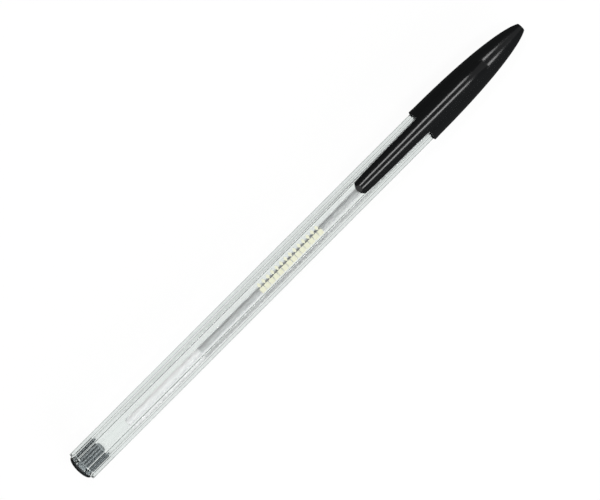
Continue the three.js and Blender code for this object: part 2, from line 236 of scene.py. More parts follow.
# %% Cut the bore and the breather hole
BORE = 4.5
REAR_MOUTH = 5.6
REAR_MOUTH_DEPTH = 0.95
VENT_STATION = 83.7
VENT_ASIDE = -0.5
VENT_BORE = 1.0
VENT_DRILL = 3  # length of the drill, half of it over the flat
VENT_MARGIN = 1.2  # the bore has an edge loop this far to each side of the hole
OVERRUN = 1  # how far a tool runs past the face that it cuts
bore_tool = turn(
    "bore_tool",
    [
        (REAR_MOUTH / 2, -OVERRUN),
        (REAR_MOUTH / 2, 0),
        (BORE / 2, REAR_MOUTH_DEPTH),
        (BORE / 2, VENT_STATION - VENT_MARGIN),
        (BORE / 2, VENT_STATION + VENT_MARGIN),
        (BORE / 2, BARREL_LENGTH + OVERRUN),
    ],
)
carve(barrel, bore_tool)
bpy.ops.object.select_all(action="DESELECT")
bpy.ops.mesh.primitive_cylinder_add(
    vertices=32,
    radius=VENT_BORE / 2 * MM,
    depth=VENT_DRILL * MM,
    location=(VENT_STATION * MM, VENT_ASIDE * MM, ACROSS_FLATS / 2 * MM),
)
carve(barrel, bpy.context.object)
smooth(barrel)

# %% [markdown]
# The end plug closes the barrel. Its dome covers the rear face, and its ribbed stem is pressed
# into the bore, where sixteen thin ribs give way more easily than a full rod. The body is turned
# from its profile. The ribs are then raised: every second group of faces round the stem is
# chosen by its angle and pushed outwards until it bites into the bore.

# %% Turn the plug's dome, neck, stem and hollow core
HEAD_RADIUS = 3.3
HEAD_HEIGHT = 1.25
HEAD_EDGE = 0.22  # height of the dome's edge over the barrel's rear face
NECK_RADIUS = 1.85
STEM_RADIUS = 2.03
STEM_END = 6.85
STEM_ROUND = 0.15
RIB_FROM = 1.25
RIB_TO = 6.65
CORE_RADIUS = 1.2
CORE_FLOOR = 2.25
plug_profile = [(POLE, -HEAD_HEIGHT)]
plug_profile += arc(0, -HEAD_EDGE, HEAD_RADIUS, HEAD_HEIGHT - HEAD_EDGE, -84, 0, 12)
plug_profile += [(HEAD_RADIUS, -0.12), (3.26, -0.04), (3.18, 0.0)]
plug_profile += [(NECK_RADIUS + 0.1, 0.0), (NECK_RADIUS, 0.1), (NECK_RADIUS, 0.85)]
plug_profile += [(STEM_RADIUS, 1.1), (STEM_RADIUS, RIB_FROM), (STEM_RADIUS, RIB_TO)]
plug_profile += [(STEM_RADIUS, STEM_END - STEM_ROUND)]
round_centre = (STEM_RADIUS - STEM_ROUND, STEM_END - STEM_ROUND)
plug_profile += arc(*round_centre, STEM_ROUND, STEM_ROUND, 0, 90, 3)
plug_profile += [(CORE_RADIUS + 0.05, STEM_END), (CORE_RADIUS, STEM_END - 0.05)]
plug_profile += [(CORE_RADIUS, CORE_FLOOR + 0.15), (1.1, CORE_FLOOR), (POLE, CORE_FLOOR)]
plug = turn("end_plug_ribbed", plug_profile, sides=128)

# %% Raise the plug's ribs
RIB_COUNT = 16
RIB_HEIGHT = 0.226  # six thousandths more than the bore leaves, because the plug is pressed in
RIB_PHASE = 3.5  # degrees from the top, towards the side that the breather hole is on
RIB_SHARE = 0.5  # of the way from one rib to the next
RIB_EDGE = 0.05


def on_rib(place, way):
    """True for the stem's faces that lie under a rib."""
    if not RIB_FROM < place.x < RIB_TO or math.hypot(place.y, place.z) < NECK_RADIUS:
        return False
    angle = math.degrees(math.atan2(-place.y, place.z))
    share = ((angle - RIB_PHASE) / (360 / RIB_COUNT) + RIB_SHARE / 2) % 1
    return share < RIB_SHARE


bpy.ops.object.mode_set(mode="EDIT")
rib_faces = choose(plug, "FACE", on_rib)
bpy.ops.mesh.extrude_region_shrink_fatten(
    TRANSFORM_OT_shrink_fatten={"value": RIB_HEIGHT * MM, "use_even_offset": True}
)
bpy.ops.object.mode_set(mode="OBJECT")
only(plug)
bpy.ops.object.modifier_add(type="BEVEL")
plug.modifiers[-1].width = RIB_EDGE * MM
plug.modifiers[-1].segments = 2
plug.modifiers[-1].angle_limit = math.radians(40)
apply_last(plug)
smooth(plug)
print("faces under ribs:", rib_faces)

# %% [markdown]
# The refill's tube is a length of extruded polypropylene, milky and slightly limp. Its front end
# sits straight in the tip holder, and behind that it sags aside until it nearly touches the
# bore. So its centre follows a line that leaves the axis in one soft bend. The ink is a column
# of paste that wets the tube's wall, and its rear end is hollow where it clings to that wall.

# %% Draw the ink tube along its bend
TUBE_RADIUS = 1.5
TUBE_BORE = 0.8  # radius
TUBE_EDGE = 0.06  # how far the rear end's rims are broken
TUBE_REAR = 15.25
TUBE_FRONT = 120.75
BEND_START = 60.25
BEND_LENGTH = 54.0
BEND_STEPS = 16
LEAN = 0.65  # how far aside its free length lies


def tube_aside(station):
    """How far the tube's centre lies off the axis at a station."""
    share = min(max((station - BEND_START) / BEND_LENGTH, 0), 1)
    return -LEAN * (1 - share * share * (3 - 2 * share))


bend = [BEND_START + BEND_LENGTH * i / BEND_STEPS for i in range(BEND_STEPS + 1)]
tube_start = (TUBE_RADIUS - TUBE_EDGE, TUBE_REAR)
tube_profile = [tube_start, (TUBE_RADIUS, TUBE_REAR + TUBE_EDGE)]
tube_profile += [(TUBE_RADIUS, station) for station in bend] + [(TUBE_RADIUS, TUBE_FRONT)]
tube_profile += [(TUBE_BORE, TUBE_FRONT)] + [(TUBE_BORE, station) for station in reversed(bend)]
tube_profile += [(TUBE_BORE, TUBE_REAR + TUBE_EDGE), (TUBE_BORE + TUBE_EDGE, TUBE_REAR)]
tube_profile += [tube_start]
tube = turn("ink_tube_milky", tube_profile, sides=64, aside=tube_aside)
smooth(tube)

# %% Pour the ink column
INK_REAR = 39.45
INK_RADIUS = 0.804  # bites a hair into the tube's wall, because paste wets it
INK_IN_HOLDER = 0.53  # radius
INK_IN_POINT = 0.28  # radius
CONE_END = 133.25
SHANK_REAR = 129.75
BALL_STATION = 135.75
ink_profile = [(POLE, INK_REAR + 0.42), (0.3, INK_REAR + 0.36), (0.55, INK_REAR + 0.22)]
ink_profile += [(0.72, INK_REAR + 0.08), (INK_RADIUS, INK_REAR)]
ink_profile += [(INK_RADIUS, station) for station in bend] + [(INK_RADIUS, TUBE_FRONT - 0.02)]
ink_profile += [(INK_IN_HOLDER, TUBE_FRONT - 0.01), (INK_IN_HOLDER, SHANK_REAR - 0.02)]
ink_profile += [(INK_IN_POINT, SHANK_REAR - 0.01), (INK_IN_POINT, BALL_STATION - 0.55)]
ink_profile += [(POLE, BALL_STATION - 0.54)]
ink = turn("ink_column", ink_profile, sides=64, aside=tube_aside)
smooth(ink)

# %% [markdown]
# The tip holder is turned from brass bar. Its stem is pressed into the barrel, its lip stops
# against the barrel's front face, and its cone carries the writing point. The point is turned
# from nickel silver, and its rim is rolled over the ball so that it can't fall out. The ball is
# ground tungsten carbide. A true ball has no poles, so a cube is subdivided and cast round.

# %% Turn the tip holder
HOLDER_REAR = 115.75
HOLDER_STEM = 2.19  # radius
LIP_STATION = 122.75  # where the lip stops against the barrel's front face
LIP_RADIUS = 2.85
LIP_ROUND = 0.08
TUBE_SOCKET = 1.53  # radius
SHANK_SOCKET = 0.97  # radius
INK_WAY = 0.55  # radius
stem_end = (HOLDER_STEM - 0.14, HOLDER_REAR)
holder_profile = [stem_end, (HOLDER_STEM, HOLDER_REAR + 0.2), (HOLDER_STEM, LIP_STATION - 0.15)]
holder_profile += [(2.1, LIP_STATION - 0.1), (2.1, LIP_STATION), (2.78, LIP_STATION)]
round_centre = (LIP_RADIUS - LIP_ROUND, LIP_STATION + LIP_ROUND)
holder_profile += arc(*round_centre, LIP_ROUND, LIP_ROUND, -60, 0, 3)
holder_profile += [(LIP_RADIUS, 123.3), (2.8, 123.38), (2.1, 128.25), (1.36, CONE_END - 0.1)]
holder_profile += [(1.28, CONE_END), (1.0, CONE_END), (SHANK_SOCKET, CONE_END - 0.05)]
holder_profile += [(SHANK_SOCKET, SHANK_REAR), (INK_WAY, SHANK_REAR), (INK_WAY, TUBE_FRONT)]
holder_profile += [(TUBE_SOCKET, TUBE_FRONT), (TUBE_SOCKET, HOLDER_REAR + 0.1)]
holder_profile += [(TUBE_SOCKET + 0.1, HOLDER_REAR), stem_end]
holder = turn("tip_holder_brass", holder_profile, sides=96)
smooth(holder)

# %% Turn the writing point
SHANK_RADIUS = 0.95
COLLAR_RADIUS = 1.15
COLLAR_END = 134.05
BALL_SOCKET = 0.53  # radius
POINT_WAY = 0.3  # radius
shank_end = (SHANK_RADIUS - 0.05, SHANK_REAR)
point_profile = [shank_end, (SHANK_RADIUS, SHANK_REAR + 0.05), (SHANK_RADIUS, CONE_END)]
point_profile += [(COLLAR_RADIUS - 0.05, CONE_END), (COLLAR_RADIUS, CONE_END + 0.05)]
point_profile += [(COLLAR_RADIUS, COLLAR_END - 0.05), (COLLAR_RADIUS - 0.03, COLLAR_END)]
point_profile += [(0.62, 135.7), (0.585, 135.9), (0.55, 135.945), (0.5, 135.95), (0.492, 135.94)]
point_profile += arc(0, BALL_STATION, BALL_SOCKET, BALL_SOCKET, 18, -52, 10)
point_profile += [(POINT_WAY, 135.3), (POINT_WAY, SHANK_REAR), shank_end]
point = turn("writing_point_turned", point_profile, sides=96)
smooth(point)

# %% Cast a subdivided cube into the ball
BALL_RADIUS = 0.5
bpy.ops.object.select_all(action="DESELECT")
bpy.ops.mesh.primitive_cube_add(size=BALL_RADIUS * 2 * MM, location=(BALL_STATION * MM, 0, 0))
ball = bpy.context.object
ball.name = "ball_ground"
ball.data.name = "ball_ground"
bpy.ops.object.mode_set(mode="EDIT")
bpy.ops.mesh.subdivide(number_cuts=15)
bpy.ops.object.mode_set(mode="OBJECT")
bpy.ops.object.modifier_add(type="CAST")
ball.modifiers[-1].factor = 1.0
ball.modifiers[-1].use_radius_as_size = False
ball.modifiers[-1].size = BALL_RADIUS * MM
apply_last(ball)
bpy.ops.object.transform_apply(location=True, rotation=True, scale=True)
bpy.ops.object.shade_smooth()
print("ball is", round(max(ball.dimensions) / MM, 3), "mm across")

# %% [markdown]
# The cap is moulded in black polypropylene, hollow, with a hole through its crown so that air
# passes if a child swallows it. Its outline is nearly straight at the mouth and closes faster
# and faster towards the nose, a power curve. The outside is turned as a full body. A ridge is
# joined on top to carry the clip, and a turned tool cuts the hollow through both.

# %% Turn the cap's outside
MOUTH = 114.45
CAP_LENGTH = 33.3
CAP_RADIUS = 4.4796
CROWN = MOUTH + CAP_LENGTH
CROWN_RADIUS = 1.07
OUTLINE_POWER = 2.2


def cap_outline(along):
    """The cap's radius at a distance from its mouth."""
    closing = CAP_LENGTH / (1 - (CROWN_RADIUS / CAP_RADIUS) ** 2) ** (1 / OUTLINE_POWER)
    return CAP_RADIUS * math.sqrt(1 - (along / closing) ** OUTLINE_POWER)


def crowded(start, end, steps):
    """Distances from start to end that crowd towards the end."""
    return [start + (end - start) * math.sin(math.pi / 2 * i / steps) for i in range(steps + 1)]


# A rounded rim, which stands out a little, goes over into the outline within 1.5 mm.
cap_profile = [(POLE, MOUTH)]
cap_profile += [(4.44, MOUTH), (4.5, MOUTH + 0.03), (4.532, MOUTH + 0.08), (4.5395, MOUTH + 0.15)]
cap_profile += [(4.52, MOUTH + 0.9)]
cap_profile += [(cap_outline(d), MOUTH + d) for d in crowded(1.5, CAP_LENGTH - 0.25, 40)]
cap_profile += [(CROWN_RADIUS + 0.08, CROWN - 0.12), (CROWN_RADIUS, CROWN - 0.03)]
cap_profile += [(CROWN_RADIUS - 0.09, CROWN), (POLE, CROWN)]
cap = turn("cap_black", cap_profile, sides=144)

# %% [markdown]
# The ridge and the clip have the same section: a flat underside, upright sides and a round
# crest. A disc with the crest's radius is cut at both sides and below with the bisect tool,
# which gives that section exactly. Its face is then extruded along the piece, station by
# station, and each copy is moved and scaled to the section's width and height there.

# %% Cut a bar's section from a disc and draw it out


def crest_section(name, station, width, top, underside, crest, corner=0.1):
    """The section's face: a disc cut upright at both sides and flat below, its corners rounded."""
    bpy.ops.object.select_all(action="DESELECT")
    bpy.ops.mesh.primitive_circle_add(
        vertices=192,
        radius=crest * MM,
        fill_type="NGON",
        location=(station * MM, 0, (top - crest) * MM),
        rotation=(0, math.pi / 2, 0),
    )
    piece = bpy.context.object
    piece.name = name
    piece.data.name = name
    bpy.ops.object.transform_apply(location=True, rotation=True, scale=True)
    bpy.ops.object.mode_set(mode="EDIT")
    bpy.ops.mesh.select_mode(type="VERT")
    half = width / 2 * MM
    cuts = [((0, half, 0), (0, 1, 0)), ((0, -half, 0), (0, -1, 0))]
    cuts.append(((0, 0, underside * MM), (0, 0, -1)))
    for place, way in cuts:
        bpy.ops.mesh.select_all(action="SELECT")
        bpy.ops.mesh.bisect(plane_co=place, plane_no=way, clear_outer=True, threshold=1e-7)
    choose(piece, "VERT", lambda place, way: place.z < underside + 0.01 and abs(place.y) > 1)
    bpy.ops.mesh.bevel(offset=corner * MM, segments=3, affect="VERTICES")
    bpy.ops.mesh.select_all(action="SELECT")
    return piece


def draw_bar(sections):
    """Extrudes the open section through [station, width, top, underside] and closes the skin."""
    station, width, top, underside = sections[0]
    for next_station, next_width, next_top, next_underside in sections[1:]:
        bpy.ops.mesh.extrude_region_move(
            TRANSFORM_OT_translate={
                "value": ((next_station - station) * MM, 0, (next_top - top) * MM)
            }
        )
        bpy.ops.transform.resize(
            value=(
                1,
                next_width / width,
                (next_top - next_underside) / (top - underside),
            ),
            center_override=(next_station * MM, 0, next_top * MM),
        )
        station, width, top, underside = next_station, next_width, next_top, next_underside
    bpy.ops.mesh.select_all(action="SELECT")
    bpy.ops.mesh.normals_make_consistent(inside=False)
    bpy.ops.object.mode_set(mode="OBJECT")
    print(bpy.context.object.name, "is drawn through", len(sections), "sections")


# %% Draw out the ridge and join it to the cap
CLIP_TOP = 6.1396
RIDGE_START = 1.45
RIDGE_LENGTH = 20.5
RIDGE_WIDTH = 4.45
RIDGE_DROP = 0.42
RIDGE_DEPTH = 3.98
RIDGE_HOLDS = (0.55, 0.85)  # shares of its length where the top line's curve is held
RIDGE_SINK = 0.15  # how far its end runs into the cap's surface
RIDGE_STEPS = 36
CREST_RADIUS = 2.6
ridge_ends = [
    (RIDGE_START, CLIP_TOP),
    (RIDGE_HOLDS[0] * RIDGE_LENGTH, CLIP_TOP - RIDGE_DROP / 2),
    (RIDGE_HOLDS[1] * RIDGE_LENGTH, CLIP_TOP - RIDGE_DROP),
    (RIDGE_LENGTH, cap_outline(RIDGE_LENGTH) - RIDGE_SINK),
]


def ridge_line(share):
    """A point of the curve that the ridge's top follows: distance from the mouth, height."""
    weights = [
        (1 - share) ** 3,
        3 * share * (1 - share) ** 2,
        3 * share**2 * (1 - share),
        share**3,
    ]
    return [sum(w * end[i] for w, end in zip(weights, ridge_ends)) for i in range(2)]


ridge_sections = []
for step in range(RIDGE_STEPS + 1):
    along, top = ridge_line(step / RIDGE_STEPS)
    ridge_sections.append((MOUTH + along, RIDGE_WIDTH, top, top - RIDGE_DEPTH))
ridge = crest_section("ridge", *ridge_sections[0], CREST_RADIUS)
draw_bar(ridge_sections)
carve(cap, ridge, "UNION")

# %% Cut the cap's hollow
CAP_BORE = 4.05  # radius, just clear of the barrel's corners, which reach 4.02
CAP_BORE_DEPTH = 8.5
LEAD_IN_RADIUS = 4.29
LEAD_IN_DEPTH = 0.3
NOSE_WALL = 0.9
CROWN_WALL = 2.1
CROWN_VENT = 0.55  # radius of the hole through the crown
CAVITY_END = CAP_LENGTH - CROWN_WALL
hollow_profile = [(LEAD_IN_RADIUS, MOUTH - OVERRUN), (LEAD_IN_RADIUS, MOUTH)]
hollow_profile += [(CAP_BORE, MOUTH + LEAD_IN_DEPTH), (CAP_BORE, MOUTH + CAP_BORE_DEPTH)]
for depth in crowded(CAP_BORE_DEPTH, CAVITY_END, 12):
    hollow_profile.append((cap_outline(depth) - NOSE_WALL, MOUTH + depth))
hollow_profile += [(CROWN_VENT + 0.05, MOUTH + CAVITY_END)]
hollow_profile += [(CROWN_VENT, MOUTH + CAVITY_END + 0.1), (CROWN_VENT, CROWN - 0.1)]
hollow_profile += [(CROWN_VENT + 0.11, CROWN + 0.01), (CROWN_VENT + 0.11, CROWN + OVERRUN)]
hollow_tool = turn("hollow_tool", hollow_profile, sides=96)
carve(cap, hollow_tool)
smooth(cap, 35)

# %% [markdown]
# The clip is the spring arm that holds the pen in a pocket. It grows out of the ridge, narrows a
# little, and ends in a rounded nose whose top slopes down so that it slides over cloth. It is
# drawn out of its root section towards the rear. On the real pen it is one with the cap; here it
# turns about its root, so it is a piece of its own that meets the ridge there.

# %% Draw out the clip
CLIP_LENGTH = 22.0
CLIP_ROOT = 1.3
UNDER_ROOT = 4.7396
UNDER_END = 4.525
CLIP_THICK = 1.4


def clip_underside(along):
    """Height of the clip's underside over the axis at a distance from the mouth."""
    share = (min(along, CLIP_ROOT) + CLIP_LENGTH) / (CLIP_LENGTH + CLIP_ROOT)
    return UNDER_END + share * (UNDER_ROOT - UNDER_END)


# Pairs of distance from the mouth and width, with the widths as the photograph shows them.
clip_plan = [(RIDGE_START, RIDGE_WIDTH), (0.0, RIDGE_WIDTH), (-0.7, 4.39), (-1.7, 4.32)]
clip_plan += [(-3.7, 4.23), (-5.7, 4.2), (-9.7, 4.18), (-13.7, 4.1), (-16.0, 4.06)]
clip_plan += [(-18.0, 4.0), (-19.0, 3.92), (-19.6, 3.88), (-20.2, 3.84), (-20.5, 3.8)]
clip_plan += [(-20.75, 3.74), (-20.95, 3.64), (-21.1, 3.5), (-21.25, 3.28), (-21.5, 2.72)]
clip_plan += [(-21.75, 2.0), (-21.9, 1.45), (-CLIP_LENGTH, 0.95)]
clip_sections = []
for along, width in clip_plan:
    under = clip_underside(along)
    clip_sections.append((MOUTH + along, width, under + CLIP_THICK, under))
clip = crest_section("clip_black", *clip_sections[0], CREST_RADIUS)
draw_bar(clip_sections)

# %% Slope the clip's free end
SLOPE_START = -20.7
SLOPE_ANGLE = math.radians(26)
only(clip)
bpy.ops.object.mode_set(mode="EDIT")
bpy.ops.mesh.select_all(action="SELECT")
bpy.ops.mesh.bisect(
    plane_co=((MOUTH + SLOPE_START) * MM, 0, (clip_underside(SLOPE_START) + CLIP_THICK) * MM),
    plane_no=(-math.sin(SLOPE_ANGLE), 0, math.cos(SLOPE_ANGLE)),
    clear_outer=True,
    use_fill=True,
    threshold=1e-7,
)
bpy.ops.object.mode_set(mode="OBJECT")
smooth(clip)
print("the clip's end slopes", round(math.degrees(SLOPE_ANGLE)), "degrees")

# %% [markdown]
# The top flat of the real barrel carries a print in hot-stamped foil. Here it is a plain pattern
# in the same cream foil, as long and as high: lozenges that stand in a row over a dashed line.
# One lozenge and one dash are made, each a thin plate, and then copied along the flat.

# %% Stamp the foil row
FOIL_START = 59.65
FOIL_END = 80.25
FOIL_PAIRS = 14
FOIL_THICK = 0.02
FOIL_ROUND = 0.08
FLAT_HEIGHT = ACROSS_FLATS / 2


def foil_plate(name, length, width, aside, turned):
    """A thin four-cornered plate on the flat. Turned by 45 degrees it is a rectangle."""
    bpy.ops.object.select_all(action="DESELECT")
    bpy.ops.mesh.primitive_cylinder_add(
        vertices=4,
        radius=(math.sqrt(0.5) if turned else 0.5) * MM,
        depth=FOIL_THICK * MM,
        location=(FOIL_START * MM, aside * MM, (FLAT_HEIGHT + FOIL_THICK / 2) * MM),
        rotation=(0, 0, math.pi / 4 if turned else 0),
    )
    piece = bpy.context.object
    piece.name = name
    piece.data.name = name
    bpy.ops.object.transform_apply(location=False, rotation=True, scale=True)
    bpy.ops.object.mode_set(mode="EDIT")
    bpy.ops.mesh.select_mode(type="VERT")
    bpy.ops.mesh.select_all(action="SELECT")
    bpy.ops.transform.resize(value=(length, width, 1), center_override=piece.location)
    choose(piece, "EDGE", lambda place, way: abs(way.z) > 0.9)
    bpy.ops.mesh.bevel(offset=FOIL_ROUND * MM, segments=3, affect="EDGES")
    bpy.ops.object.mode_set(mode="OBJECT")
    return piece


lozenge = foil_plate("foil_row", length=0.95, width=1.45, aside=0.61, turned=False)
dash = foil_plate("foil_dash", length=1.3, width=1.35, aside=-0.8, turned=True)
pitch = (FOIL_END - FOIL_START) / FOIL_PAIRS
foil_parts = []
for pair in range(FOIL_PAIRS):
    for first in (lozenge, dash):
        plate = first.copy()
        plate.data = first.data.copy()
        bpy.context.collection.objects.link(plate)
        plate.location.x = (FOIL_START + (pair + 0.5) * pitch) * MM
        foil_parts.append(plate)
for first in (lozenge, dash):
    bpy.data.objects.remove(first)
bpy.ops.object.select_all(action="DESELECT")
for plate in foil_parts:
    plate.select_set(True)
bpy.context.view_layer.objects.active = foil_parts[0]
bpy.ops.object.join()
foil = bpy.context.object
foil.name = "foil_row"
foil.data.name = "foil_row"
bpy.ops.object.transform_apply(location=True, rotation=True, scale=True)
print("foil plates:", len(foil_parts))

# %% Bring every piece home
bring_home(barrel, "pen_body", "barrel")
bring_home(plug, "pen_body", "end_plug")
bring_home(tube, "pen_body", "ink_tube")
bring_home(ink, "pen_body", "ink")
bring_home(holder, "pen_body", "tip_holder")
bring_home(point, "pen_body", "writing_point")
bring_home(ball, "ball", "ball")
bring_home(cap, "cap", "cap")
bring_home(clip, "clip", "clip")
bring_home(foil, "pen_body", None)

# %% [markdown]
# Colours are written as the hex numbers that a screen shows, and one function turns them to the
# linear numbers that the shader wants. A second function adds a node, sets it and links it.
# Patterns read Object coordinates, which here are the row frame's metres, so a Noise scale of
# 1000 has features about a millimetre wide.

# %% Turn screen colours to linear, and add nodes


def tone(code):
    """An sRGB hex colour as linear red, green, blue and alpha."""
    channels = [int(code[i : i + 2], 16) / 255 for i in (1, 3, 5)]
    linear = [c / 12.92 if c <= 0.04045 else ((c + 0.055) / 1.055) ** 2.4 for c in channels]
    return (*linear, 1.0)


def add_node(tree, kind, settings=None, links=None):
    """Adds a node. Settings are sockets or properties by name, links are sockets that feed it."""
    made = tree.nodes.new(kind)
    for key, value in (settings or {}).items():
        if isinstance(key, int) or key in made.inputs:
            made.inputs[key].default_value = value
        else:
            setattr(made, key, value)
    for key, source in (links or {}).items():
        tree.links.new(source, made.inputs[key])
    return made


def new_material(name):
    """An empty node material and its tree."""
    made = bpy.data.materials.new(name)
    made.use_nodes = True
    made.node_tree.nodes.clear()
    return made, made.node_tree


def finish_with(tree, shader, volume=None):
    """Links a shader, and a volume if there is one, to the material's output."""
    out = add_node(tree, "ShaderNodeOutputMaterial", links={"Surface": shader})
    if volume:
        tree.links.new(volume, out.inputs["Volume"])


def lit_through(tree, shader, tint):
    """The shader, but rays that only ask whether a lamp is visible pass through, tinted."""
    path = add_node(tree, "ShaderNodeLightPath")
    to_lamps = add_node(tree, "ShaderNodeBsdfTransparent", {"Color": tint})
    mix = add_node(
        tree,
        "ShaderNodeMixShader",
        links={0: path.outputs["Is Shadow Ray"], 1: shader, 2: to_lamps.outputs[0]},
    )
    return mix.outputs[0]


def dress(piece, material):
    """Gives a piece its one material."""
    piece.data.materials.clear()
    piece.data.materials.append(material)
    print(piece.name, "wears", material.name, "of", len(material.node_tree.nodes), "nodes")


# %% [markdown]
# Clear polystyrene has a high index for a plastic, 1.59, which gives the barrel its glassy lines
# along the corners. It is moulded against polished steel, so it is nearly smooth, with faint
# streaks where the melt flowed along the mould. A touch of absorption greys it along the longer
# paths. Rays that only ask whether a lamp is visible pass through, so the inside is lit.

# %% Polished clear polystyrene
clear_polystyrene, tree = new_material("clear_polystyrene_moulded")
place = add_node(tree, "ShaderNodeTexCoord").outputs["Object"]
along_flow = add_node(tree, "ShaderNodeMapping", {"Scale": (12, 700, 700)}, {"Vector": place})
flow = add_node(
    tree,
    "ShaderNodeTexNoise",
    {"Scale": 1.0, "Detail": 3.0},
    {"Vector": along_flow.outputs[0]},
)
streaks = add_node(
    tree,
    "ShaderNodeBump",
    {"Strength": 0.1, "Distance": 0.0000002},
    {"Height": flow.outputs[0]},
)
clear = add_node(
    tree,
    "ShaderNodeBsdfPrincipled",
    {
        "Base Color": tone("#f6f8f7"),
        "IOR": 1.59,
        "Roughness": 0.01,
        "Transmission Weight": 1.0,
    },
    {"Normal": streaks.outputs[0]},
)
clear_skin = lit_through(tree, clear.outputs[0], tone("#dfe1e1"))
absorb = add_node(
    tree,
    "ShaderNodeVolumeAbsorption",
    {"Color": tone("#dae7e3"), "Density": 60.0},
)
finish_with(tree, clear_skin, absorb.outputs[0])
dress(barrel, clear_polystyrene)

# %% [markdown]
# The cap, the clip and the plug are black polypropylene. It comes out of a satin mould, so its
# highlights are soft at the edge but still clear lines. Carbon black leaves no colour, and only
# a slight unevenness of the sheen shows where fingers have polished it.

# %% Satin black polypropylene
black_polypropylene, tree = new_material("black_polypropylene_satin")
place = add_node(tree, "ShaderNodeTexCoord").outputs["Object"]
grain = add_node(
    tree,
    "ShaderNodeTexNoise",
    {"Scale": 6000.0, "Detail": 2.0},
    {"Vector": place},
)
handling = add_node(
    tree,
    "ShaderNodeTexNoise",
    {"Scale": 260.0, "Detail": 3.0},
    {"Vector": place},
)
sheen_range = add_node(
    tree,
    "ShaderNodeMapRange",
    {"From Min": 0.3, "From Max": 0.7, "To Min": 0.15, "To Max": 0.22},
    {"Value": handling.outputs[0]},
)
mould_grain = add_node(
    tree,
    "ShaderNodeBump",
    {"Strength": 0.1, "Distance": 0.000001},
    {"Height": grain.outputs[0]},
)
black = add_node(
    tree,
    "ShaderNodeBsdfPrincipled",
    {"Base Color": tone("#0f1011"), "IOR": 1.49},
    {"Roughness": sheen_range.outputs[0], "Normal": mould_grain.outputs[0]},
)
finish_with(tree, black.outputs[0])
for piece in (cap, clip):
    dress(piece, black_polypropylene)

# %% [markdown]
# The plug is the same plastic. Its dome is smooth, because it is seen and touched. The mould of
# its stem was left as the spark erosion made it, so the stem comes out matt. The stem's light
# grey is painted light, for the light that reaches it through the clear barrel; the plastic
# itself is as black as the dome. Where its ribs are pressed against the barrel no air is left
# between the two, and their tops are painted darker there, as painted shade.

# %% Black polypropylene, smooth on the dome and matt on the stem
# Past the rear face the stem is painted a light grey, as painted light, and its rib tops darker, as
# painted shade.
PAINTED_RIB_SHADE_FROM = 2.1  # radii between which the groove's tone turns to the rib's
PAINTED_RIB_SHADE_TO = 2.2
STEM_TONE = 0.1  # how far to each side of the rear face the dome's tone turns to the stem's
plug_plastic, tree = new_material("black_polypropylene_matt_stem")
place = add_node(tree, "ShaderNodeTexCoord").outputs["Object"]
spark = add_node(tree, "ShaderNodeTexNoise", {"Scale": 5000.0, "Detail": 3.0}, {"Vector": place})
parts = add_node(tree, "ShaderNodeSeparateXYZ", links={0: place})
on_stem = add_node(
    tree,
    "ShaderNodeMapRange",
    {"From Min": REAR_FACE - STEM_TONE * MM, "From Max": REAR_FACE + STEM_TONE * MM},
    {"Value": parts.outputs["X"]},
)
spark_bump = add_node(
    tree,
    "ShaderNodeBump",
    {"Distance": 0.000006},
    {"Strength": on_stem.outputs[0], "Height": spark.outputs[0]},
)
around_axis = add_node(
    tree,
    "ShaderNodeMapping",
    {"Location": (0, 0, -AXIS_HEIGHT), "Scale": (0, 1, 1)},
    {"Vector": place},
)
off_axis = add_node(
    tree,
    "ShaderNodeVectorMath",
    {"operation": "LENGTH"},
    {0: around_axis.outputs[0]},
)
on_rib_top = add_node(
    tree,
    "ShaderNodeMapRange",
    {"From Min": PAINTED_RIB_SHADE_FROM * MM, "From Max": PAINTED_RIB_SHADE_TO * MM},
    {"Value": off_axis.outputs["Value"]},
)
# Painted light: light greys, far lighter than the black plastic, with a random spark tone between
# them.
groove_painted_light = add_node(
    tree,
    "ShaderNodeMix",
    {"data_type": "RGBA", 6: tone("#75797c"), 7: tone("#878b8e")},
    {0: spark.outputs[0]},
)
# Painted shade: the rib tops, pressed against the bore, are painted darker than the grooves.
stem_painted_light_and_shade = add_node(
    tree,
    "ShaderNodeMix",
    {"data_type": "RGBA", 7: tone("#383d40")},
    {0: on_rib_top.outputs[0], 6: groove_painted_light.outputs[2]},
)
plug_tones = add_node(
    tree,
    "ShaderNodeMix",
    {"data_type": "RGBA", 6: tone("#16191b")},
    {0: on_stem.outputs[0], 7: stem_painted_light_and_shade.outputs[2]},
)
plug_gloss = add_node(
    tree,
    "ShaderNodeMapRange",
    {"To Min": 0.3, "To Max": 0.55},
    {"Value": on_stem.outputs[0]},
)
plug_black = add_node(
    tree,
    "ShaderNodeBsdfPrincipled",
    {"IOR": 1.49},
    {
        "Base Color": plug_tones.outputs[2],
        "Roughness": plug_gloss.outputs[0],
        "Normal": spark_bump.outputs[0],
    },
)
finish_with(tree, plug_black.outputs[0])
dress(plug, plug_plastic)

# %% [markdown]
# The tube is natural polypropylene with no pigment. Its crystals scatter light, which makes it
# milky: part of the light goes through and part comes back white. That white veil is why the
# black ink inside it looks grey from outside. Towards -Y the veil is made thicker as painted
# light, so that this side of the tube and of the ink looks lighter, as if lit from there.

